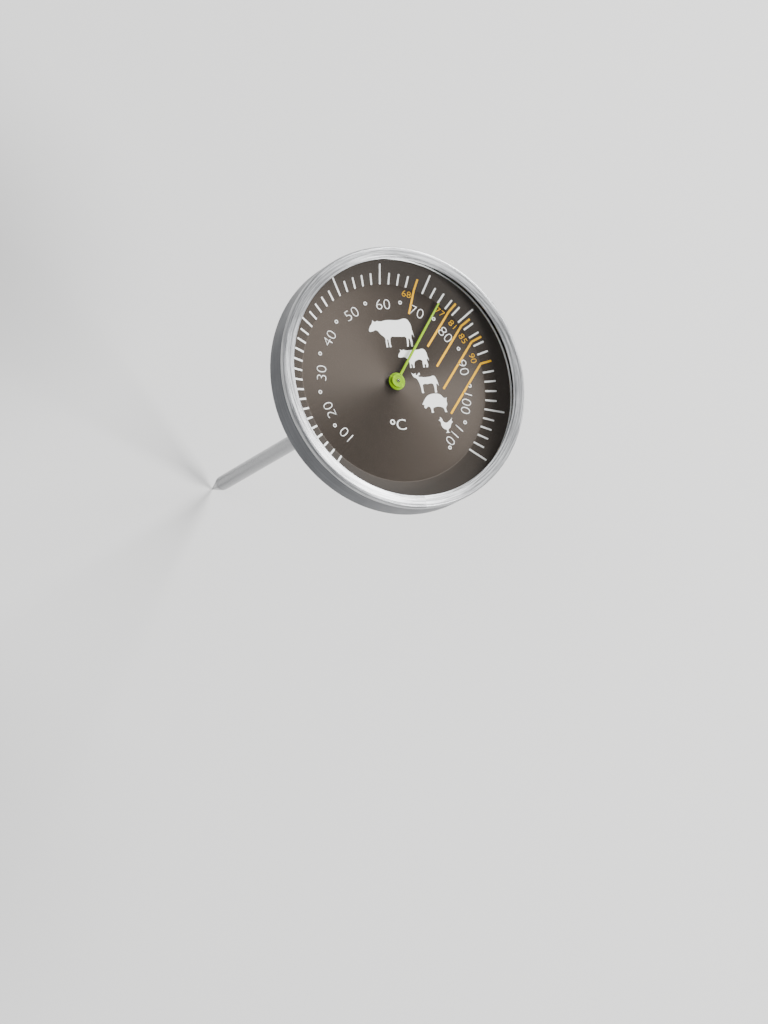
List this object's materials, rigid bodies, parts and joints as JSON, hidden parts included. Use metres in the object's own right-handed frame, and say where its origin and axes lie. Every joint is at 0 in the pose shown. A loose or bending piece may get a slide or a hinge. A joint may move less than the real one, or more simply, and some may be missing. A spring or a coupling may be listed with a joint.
{
  "type": "meat thermometer",
  "caption": "Round dial meat thermometer with a brushed steel case, a glass over a dished dial, a turning pointer and a pointed stem at the back.",
  "frame": {"origin": "centre of the case's flat back face, where the stem leaves it", "axes": "+Z along the stem's axis out through the dial, +Y towards 12 o'clock on the dial, +X towards 3 o'clock; the stem runs down -Z"},
  "size_m": [0.073, 0.073, 0.134],
  "materials": {
    "brushed_case": "brushed in circles, satin",
    "stem_steel": "fine ground, half bright",
    "inner_steel": "mill finish",
    "bright_ring": "polished",
    "black_seal": "matt silicone",
    "dial_glass": "clear, polished",
    "dial_paint": "sunray brushed under a grey-brown lacquer, with a white and orange printed scale",
    "scale_white": "printed ink",
    "scale_orange": "printed ink",
    "pointer_paint": "gloss lime green lacquer",
    "inner_brass": "turned",
    "bimetal_strip": "rolled strip"
  },
  "bodies": {
    "case": {"case_cup": "brushed_case", "bezel_ring": "brushed_case", "lens_gasket": "black_seal", "lens": "dial_glass", "spacer_ring": "bright_ring", "dial_plate": "dial_paint", "dial_seat_ring": "inner_steel", "stem_bushing": "stem_steel", "seal_washer": "black_seal", "lock_washer": "inner_steel", "bushing_nut": "inner_brass", "upper_bearing": "inner_brass", "middle_bearing": "inner_brass", "lower_bearing": "inner_brass", "stem_tube": "stem_steel", "stem_tip": "stem_steel", "helix_anchor": "inner_brass", "bimetal_helix": "bimetal_strip"},
    "movement": {"spindle": "inner_steel", "helix_collar": "inner_brass", "pointer": "pointer_paint", "pointer_boss": "pointer_paint"}
  },
  "joints": [
    {"name": "pointer_turn", "type": "hinge", "parent": "case", "child": "movement", "pos_m": [0, 0, 0], "axis": [0, 0, 1], "range_deg": [-97.2, 172.8], "stiffness_Nm_per_rad": 0.0003}
  ]
}
